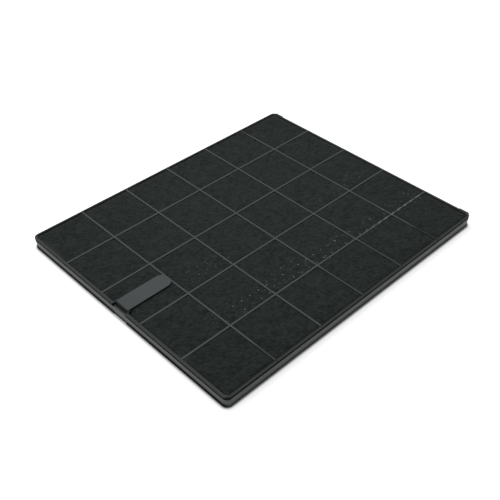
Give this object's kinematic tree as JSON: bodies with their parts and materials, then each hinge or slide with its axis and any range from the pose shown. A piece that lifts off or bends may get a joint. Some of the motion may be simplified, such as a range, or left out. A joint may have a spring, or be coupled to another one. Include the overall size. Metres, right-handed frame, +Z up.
{
  "type": "cooker hood carbon filter",
  "caption": "Flat rectangular carbon filter cassette: a square-celled moulded frame over fleece, with chambers of granules inside and a folding pull tab at the middle of a short edge.",
  "frame": {"origin": "centre of the rectangular underside, on the plane that the bottom lip lies in", "axes": "+Z up through the thickness, +X along the long side, away from the pull tab, +Y along the short side"},
  "size_m": [0.2709, 0.225, 0.0117],
  "materials": {
    "frame_plastic": "black moulded polypropylene, fine satin grain",
    "lattice_plastic": "black moulded polypropylene",
    "fleece": "black non-woven polyester",
    "tab_plastic": "dark grey moulded plastic, satin",
    "carbon": "black activated carbon granules"
  },
  "bodies": {
    "cassette": {"cover_grille": "frame_plastic", "base_tray": "frame_plastic", "chamber_lattice": "lattice_plastic", "upper_fleece": "fleece", "lower_fleece": "fleece", "carbon_charge_a1": "carbon", "carbon_charge_a2": "carbon", "carbon_charge_a3": "carbon", "carbon_charge_a4": "carbon", "carbon_charge_a5": "carbon", "carbon_charge_b1": "carbon", "carbon_charge_b2": "carbon", "carbon_charge_b3": "carbon", "carbon_charge_b4": "carbon", "carbon_charge_b5": "carbon", "carbon_charge_c1": "carbon", "carbon_charge_c2": "carbon", "carbon_charge_c3": "carbon", "carbon_charge_c4": "carbon", "carbon_charge_c5": "carbon", "carbon_charge_d1": "carbon", "carbon_charge_d2": "carbon", "carbon_charge_d3": "carbon", "carbon_charge_d4": "carbon", "carbon_charge_d5": "carbon", "carbon_charge_e1": "carbon", "carbon_charge_e2": "carbon", "carbon_charge_e3": "carbon", "carbon_charge_e4": "carbon", "carbon_charge_e5": "carbon", "carbon_charge_f1": "carbon", "carbon_charge_f2": "carbon", "carbon_charge_f3": "carbon", "carbon_charge_f4": "carbon", "carbon_charge_f5": "carbon"},
    "pull_tab": {"pull_tab": "tab_plastic"}
  },
  "joints": [
    {"name": "tab_hinge", "type": "hinge", "parent": "cassette", "child": "pull_tab", "pos_m": [-0.13095, 0, 0.01025], "axis": [0, -1, 0], "range_deg": [0, 180]}
  ]
}
